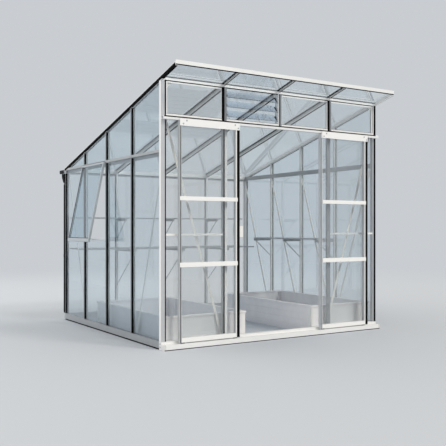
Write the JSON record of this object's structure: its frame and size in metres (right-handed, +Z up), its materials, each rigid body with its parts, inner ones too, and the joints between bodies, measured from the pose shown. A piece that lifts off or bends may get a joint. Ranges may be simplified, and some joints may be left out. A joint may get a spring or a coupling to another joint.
{
  "type": "glass greenhouse",
  "caption": "Free-standing aluminium and glass greenhouse with a mono-pitch roof, sliding double doors, a louvre, a side window, raised beds and shelves.",
  "frame": {"origin": "on the ground under the front face of the house, halfway along the front sill", "axes": "+X to the right along the front, +Y from the front to the back, +Z up"},
  "size_m": [2.7591, 2.978, 2.5124],
  "materials": {
    "aluminium": "mill finish, satin",
    "clear_glass": "clear, polished",
    "door_glass": "clear, slightly hazy",
    "black_seal": "matte black",
    "nylon": "moulded",
    "white_handle": "white, smooth",
    "bed_boards": "pale grey, satin",
    "shelf_aluminium": "satin",
    "gutter_grey": "satin grey"
  },
  "bodies": {
    "house": {"front_sill": "aluminium", "ledge_caps": "nylon", "rear_sill": "aluminium", "side_sills": "aluminium", "corner_posts": "aluminium", "front_wall_bars": "aluminium", "left_wall_bars": "aluminium", "right_wall_bars": "aluminium", "rear_wall_bars": "aluminium", "head_rail": "aluminium", "fascia_rail": "aluminium", "eaves_rail": "aluminium", "side_rails": "aluminium", "mid_rails": "aluminium", "door_track": "aluminium", "front_wall_glass": "clear_glass", "left_wall_glass": "clear_glass", "right_wall_glass": "clear_glass", "rear_wall_glass": "clear_glass", "roof_bars": "aluminium", "roof_front_bar": "aluminium", "roof_glass": "clear_glass", "gutter": "gutter_grey", "downpipe": "gutter_grey", "wall_braces": "aluminium", "gussets": "aluminium", "louvre_sides": "aluminium", "louvre_blades": "clear_glass", "window_frame": "aluminium", "window_glass": "clear_glass", "window_stay": "aluminium", "left_bed": "bed_boards", "right_bed": "bed_boards", "rear_shelves": "shelf_aluminium", "side_shelf": "shelf_aluminium", "shelf_struts": "aluminium"},
    "left_door": {"left_door_frame": "aluminium", "left_door_head": "aluminium", "left_door_glass": "door_glass", "left_door_rollers": "nylon", "left_door_seal": "black_seal", "left_door_handle": "white_handle"},
    "right_door": {"right_door_frame": "aluminium", "right_door_head": "aluminium", "right_door_glass": "door_glass", "right_door_rollers": "nylon", "right_door_seal": "black_seal"}
  },
  "joints": [
    {"name": "left_door_slide", "type": "slide", "parent": "house", "child": "left_door", "axis": [1, 0, 0], "range_m": [-0.152, 0.4935]},
    {"name": "right_door_slide", "type": "slide", "parent": "house", "child": "right_door", "axis": [1, 0, 0], "range_m": [-0.4775, 0.168]}
  ]
}
